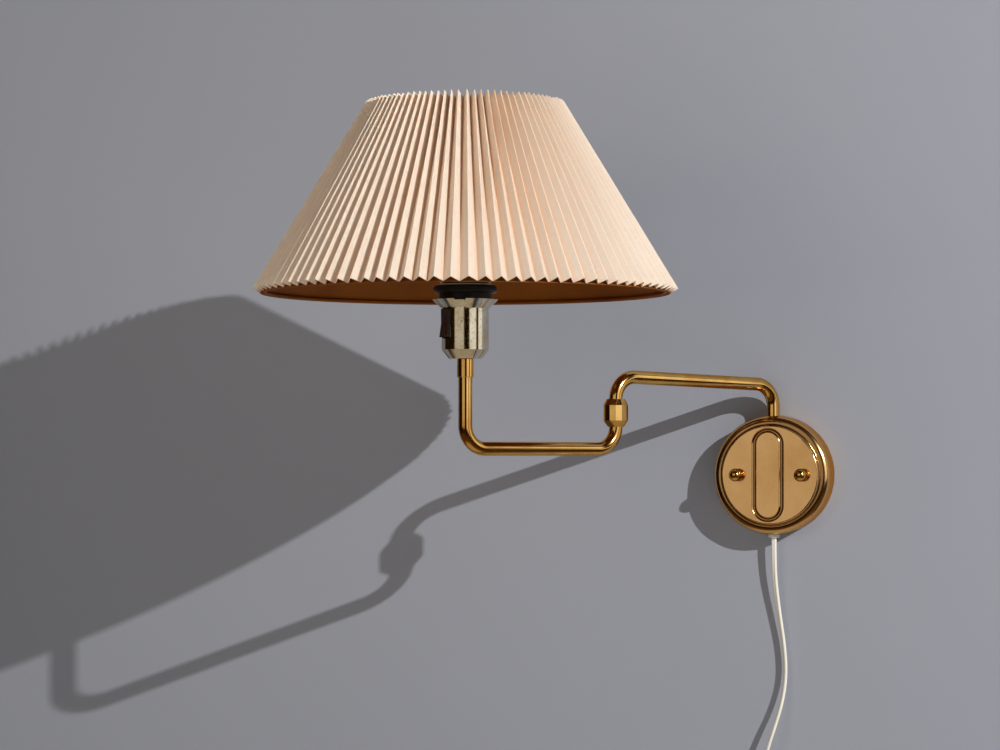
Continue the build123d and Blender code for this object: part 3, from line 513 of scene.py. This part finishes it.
def pick_edges(piece, chosen):
    """Select a piece's edges by their ends, in edit mode."""
    bpy.context.view_layer.objects.active = piece
    bpy.ops.object.mode_set(mode="EDIT")
    bpy.ops.mesh.select_all(action="DESELECT")
    bpy.ops.mesh.select_mode(type="EDGE")
    mesh = bmesh.from_edit_mesh(piece.data)
    for edge in mesh.edges:
        edge.select_set(chosen(edge.verts[0].co, edge.verts[1].co))
    mesh.select_flush_mode()
    bmesh.update_edit_mesh(piece.data)


def apply_modifier(piece, name, kind, **settings):
    """Add a modifier and apply it at once."""
    bpy.context.view_layer.objects.active = piece
    modifier = piece.modifiers.new(name, kind)
    for setting, value in settings.items():
        setattr(modifier, setting, value)
    bpy.ops.object.modifier_apply(modifier=name)


# Shade cloth: one sheet of linen folded into pleats and drawn into a cone


def pleat_drift(turn):
    """How far a fold has crept round the frame, so that no two pleats are quite alike."""
    return sum(
        PLEAT_UNEVENNESS / waves * sin(waves * (turn - PLEAT_WIDEST)) for waves in PLEAT_WAVES
    )


def shade_cloth():
    """A cone of flat panels with every second fold drawn in, made uneven, rounded and thickened."""
    low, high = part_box("shade_pleats")
    axis = (Vector(low) + Vector(high)) / 2
    low_radius = (high[0] - low[0]) / 2
    fold_low = low[2] + PLEAT_DEPTH_LOW * FOLD_LEAN
    fold_high = high[2]
    middle = (fold_low + fold_high) / 2
    clear_selection()
    bpy.ops.mesh.primitive_cone_add(
        vertices=2 * PLEATS,
        radius1=low_radius,
        radius2=SHADE_TOP_RADIUS,
        depth=fold_high - fold_low,
        end_fill_type="NOTHING",
        location=(axis.x, axis.y, middle),
    )
    cloth = start_piece("shade_cloth")
    settle(cloth)

    def inner_fold(place):
        """Whether a corner of the cone is one of the folds that are drawn in."""
        turn = atan2(place.x - axis.x, place.y - axis.y)
        return round(turn * PLEATS / pi) % 2 == 1

    ridge = cloth.data.attributes.new("ridge", "FLOAT", "POINT")
    for vertex, height in zip(cloth.data.vertices, ridge.data):
        height.value = 0.0 if inner_fold(vertex.co) else 1.0
    ends = (
        (fold_low, low_radius, PLEAT_DEPTH_LOW, lambda place: place.z < middle),
        (fold_high, SHADE_TOP_RADIUS, PLEAT_DEPTH_HIGH, lambda place: place.z > middle),
    )
    for height, radius, depth, at_end in ends:
        pick_vertices(cloth, lambda place: at_end(place) and inner_fold(place))
        draw_in = 1 - depth / radius
        bpy.ops.transform.resize(
            value=(draw_in, draw_in, 1), center_override=(axis.x, axis.y, height)
        )
        bpy.ops.transform.translate(value=(0, 0, -depth * FOLD_LEAN))
    mesh = bmesh.from_edit_mesh(cloth.data)
    for vertex in mesh.verts:
        spoke = vertex.co - axis
        vertex.co = axis + Matrix.Rotation(pleat_drift(atan2(spoke.y, spoke.x)), 3, "Z") @ spoke
    bpy.ops.mesh.select_all(action="SELECT")
    bpy.ops.transform.vertex_random(offset=FOLD_WANDER, seed=FOLD_SEED)
    pick_edges(cloth, lambda first, last: abs(first.z - last.z) > (fold_high - fold_low) / 2)
    bpy.ops.mesh.subdivide(number_cuts=PLEAT_ROWS)
    bpy.ops.mesh.select_all(action="SELECT")
    bpy.ops.transform.vertex_random(offset=CLOTH_WANDER, seed=CLOTH_SEED)
    bpy.ops.object.mode_set(mode="OBJECT")
    apply_modifier(
        cloth,
        "folds",
        "BEVEL",
        width=FOLD_WIDTH,
        segments=FOLD_SEGMENTS,
        limit_method="ANGLE",
        angle_limit=FOLD_SHARPNESS,
    )
    apply_modifier(cloth, "cloth", "SOLIDIFY", thickness=CLOTH_THICKNESS, offset=-1)
    bpy.ops.object.shade_smooth_by_angle(angle=CLOTH_SMOOTHING)
    dress(cloth, "shade_fabric")
    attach(cloth, "outer_arm")
    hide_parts("shade_pleats")
    half_pitch = low_radius * sin(pi / PLEATS)
    panel = (half_pitch**2 + PLEAT_DEPTH_LOW**2) ** 0.5
    2 * PLEATS * panel


shade_cloth()

# Cord: down the wall in a slow curve, a tied coil, and the plug's end

cord_route = [
    Vector(point) * MM
    for point in (
        (0, -9, -58.6),
        (0, -9, -73),
        (0.3, -7.4, -98),
        (3.6, -5.2, -128),
        (8.6, -4.0, -161),
        (10.2, -4.4, -188),
        (7.6, -7.8, -212),
        (1.8, -12.8, -235),
        (-4.8, -14.6, -256),
        (-10.0, -12.0, -277),
        (-12.8, -7.4, -296),
        (-12.4, -4.2, -313),
        (-12.4, -4.2, -325),
    )
]
end_route = [
    Vector(point) * MM
    for point in (
        (-12.4, -9.8, -347),
        (-14.3, -9.9, -359.8),
        (-18.1, -10.0, -372.2),
        (-20.0, -10.1, -385),
        (-20.0, -10.1, -397),
    )
]


def coil_place(turns):
    """A point of the winding: in on the rear layer, out on the front one."""
    turn = pi + 2 * pi * turns
    half = COIL_TURNS / 2
    radius = COIL_RADIUS - COIL_PITCH * (half - abs(turns - half))
    climb = min(1, max(0, (turns - half) / COIL_CLIMB + 0.5))
    depth = COIL_BACK + COIL_PITCH * climb
    return COIL_CENTRE + Vector((radius * cos(turn), -depth, radius * sin(turn)))


def add_curve(name, curve):
    """Put a curve into the scene as an object."""
    added = bpy.data.objects.new(name, curve)
    bpy.context.scene.collection.objects.link(added)
    return added


def flex_section():
    """The flex in section: two round cores side by side, drawn as one closed curve."""
    spread = CORD_WIDTH / 2 - CORD_CORE_RADIUS
    waist = acos(spread / CORD_CORE_RADIUS)
    corners = []
    for side in (1, -1):
        for step in range(CORE_STEPS + 1):
            turn = (pi - waist) * (2 * step / CORE_STEPS - 1)
            across = spread + CORD_CORE_RADIUS * cos(turn)
            thick = CORD_CORE_RADIUS * sin(turn)
            corners.append((side * across, side * thick, 0, 1))
    section = bpy.data.curves.new("flex_section", "CURVE")
    outline = section.splines.new("POLY")
    outline.points.add(len(corners) - 1)
    for point, corner in zip(outline.points, corners):
        point.co = corner
    outline.use_cyclic_u = True
    return add_curve("flex_section", section)


def cord_line():
    """The cord's whole way as one smooth line."""
    points = list(cord_route)
    points += [coil_place(step / COIL_STEPS) for step in range(COIL_TURNS * COIL_STEPS + 1)]
    points += end_route
    curve = bpy.data.curves.new("mains_cord", "CURVE")
    curve.dimensions = "3D"
    curve.resolution_u = CORD_STEPS
    spline = curve.splines.new("NURBS")
    spline.points.add(len(points) - 1)
    for index, (place, point) in enumerate(zip(points, spline.points)):
        point.co = (*place, 1)
        point.tilt = CORD_TWIST * min(index, len(cord_route))
    spline.order_u = 3
    spline.use_endpoint_u = True
    return add_curve("mains_line", curve)


def mains_cord():
    """The flex drawn along its line; the line's own points are read before that."""
    line = cord_line()
    path = [vertex.co.copy() for vertex in bpy.data.meshes.new_from_object(line).vertices]
    section = flex_section()
    line.data.bevel_mode = "OBJECT"
    line.data.bevel_object = section
    line.data.use_fill_caps = True
    clear_selection()
    line.select_set(True)
    bpy.context.view_layer.objects.active = line
    bpy.ops.object.convert(target="MESH")
    cord = start_piece("mains_cord")
    bpy.data.objects.remove(section)
    bpy.ops.object.shade_smooth_by_angle(angle=CORD_SMOOTHING)
    dress(cord, "cord_white")
    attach(cord, "wall")
    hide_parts("cord", "cord_coil", "cord_end")


mains_cord()

# Stage: the wall, a pale floor, the room's light and the camera


def matt_paint(name):
    """Paint with next to no gloss, for the wall and the floor."""
    return Finish(name).set(Roughness=0.9, Specular_IOR_Level=0.15)


def wall_paint():
    """A rolled coat, faintly uneven, on the room's side only: from behind, the wall is clear."""
    paint = matt_paint("wall_paint")
    paint.set(Base_Color=paint.mix(paint.noise(3.0, 4), rgb(168, 171, 181), rgb(172, 175, 185)))
    behind = paint.node("ShaderNodeNewGeometry", output="Backfacing")
    clear = paint.node("ShaderNodeBsdfTransparent")
    front = Socket(paint.tree, paint.shader.outputs[0])
    both = paint.node("ShaderNodeMixShader", inputs={0: behind, 1: front, 2: clear})
    paint.tree.links.new(both.output, paint.tree.nodes["Material Output"].inputs["Surface"])
    return paint.material


def floor_paint():
    """A plain pale coat."""
    return matt_paint("floor_paint").set(Base_Color=rgb(206, 204, 200)).material


def studio():
    """The wall that the lamp hangs on, and the floor, which metal doesn't mirror."""
    clear_selection()
    bpy.ops.mesh.primitive_plane_add(size=WALL_SIZE, location=WALL_PLACE, rotation=(pi / 2, 0, 0))
    wall = start_piece("studio_wall")
    wall.data.materials.append(wall_paint())
    clear_selection()
    bpy.ops.mesh.primitive_plane_add(size=FLOOR_SIZE, location=FLOOR_PLACE)
    floor = start_piece("studio_floor")
    floor.data.materials.append(floor_paint())
    floor.visible_glossy = False


def softbox(name, place, target, size, watts, colour=(1, 1, 1), mirrored=True):
    """A square lamp aimed at a point, which metal may mirror or not."""
    data = bpy.data.lights.new(name, "AREA")
    data.size = size
    data.energy = watts
    data.color = colour
    light = bpy.data.objects.new(name, data)
    light.location = place
    light.rotation_euler = (Vector(target) - Vector(place)).to_track_quat("-Z", "Y").to_euler()
    light.visible_glossy = mirrored
    light.visible_camera = False
    bpy.context.scene.collection.objects.link(light)


def room():
    """The world: a soft fill that leans to the left, and the room's pale and dark sides in metal."""
    world = bpy.data.worlds.new("room")
    bpy.context.scene.world = world
    world.use_nodes = True
    sky = Socket(world.node_tree)
    direction = sky.node("ShaderNodeTexCoord", output="Generated")
    east, north, up = (
        sky.node("ShaderNodeSeparateXYZ", inputs={0: direction}, output=axis) for axis in "XYZ"
    )
    turn = sky.math("ARCTAN2", east, 0 - north) * (0.5 / pi) + 0.5
    height = up * 0.5 + 0.5

    def levels(place, stops):
        """Grey levels along a place from 0 to 1."""
        return sky.node(
            "ShaderNodeValToRGB",
            {"stops": [(share, (level, level, level, 1)) for share, level in stops]},
            {0: place},
        )

    def climbing(stops):
        """Stops by degrees above the horizon, set by height instead."""
        return [(0.5 + 0.5 * sin(radians(degrees)), level) for degrees, level in stops]

    around = levels(turn, [(0.5 + degrees / 360, level) for degrees, level in ROOM_AROUND])
    mirrored = around * levels(height, climbing(ROOM_BAND)) + levels(height, climbing(ROOM_ENDS))
    glossy = sky.node("ShaderNodeLightPath", output="Is Glossy Ray")
    tones = [(level, (*colour, 1)) for level, colour in ROOM_TONES]
    mirrored = sky.node("ShaderNodeValToRGB", {"stops": tones}, {0: mirrored})
    light = sky.mix(glossy, ROOM_FILL - east * ROOM_LEAN, mirrored)
    background = world.node_tree.nodes["Background"]
    world.node_tree.links.new(light.output, background.inputs["Color"])


def camera():
    """A level camera with its lens shifted up a little, as the photograph's framing needs."""
    data = bpy.data.cameras.new("camera")
    data.lens = CAMERA_LENS
    data.sensor_width = 36
    data.shift_y = CAMERA_RISE
    data.clip_end = 50
    view = bpy.data.objects.new("camera", data)
    view.location = CAMERA_PLACE
    view.rotation_euler = (pi / 2, 0, CAMERA_YAW)
    bpy.context.scene.collection.objects.link(view)
    bpy.context.scene.camera = view


studio()
softbox("key", KEY_PLACE, KEY_TARGET, KEY_SIZE, KEY_WATTS)
softbox("fill", FILL_PLACE, FILL_TARGET, FILL_SIZE, FILL_WATTS, FILL_COLOUR, mirrored=False)
room()
camera()
bpy.context.scene.view_settings.view_transform = "Standard"

clear_selection()
bpy.context.view_layer.update()
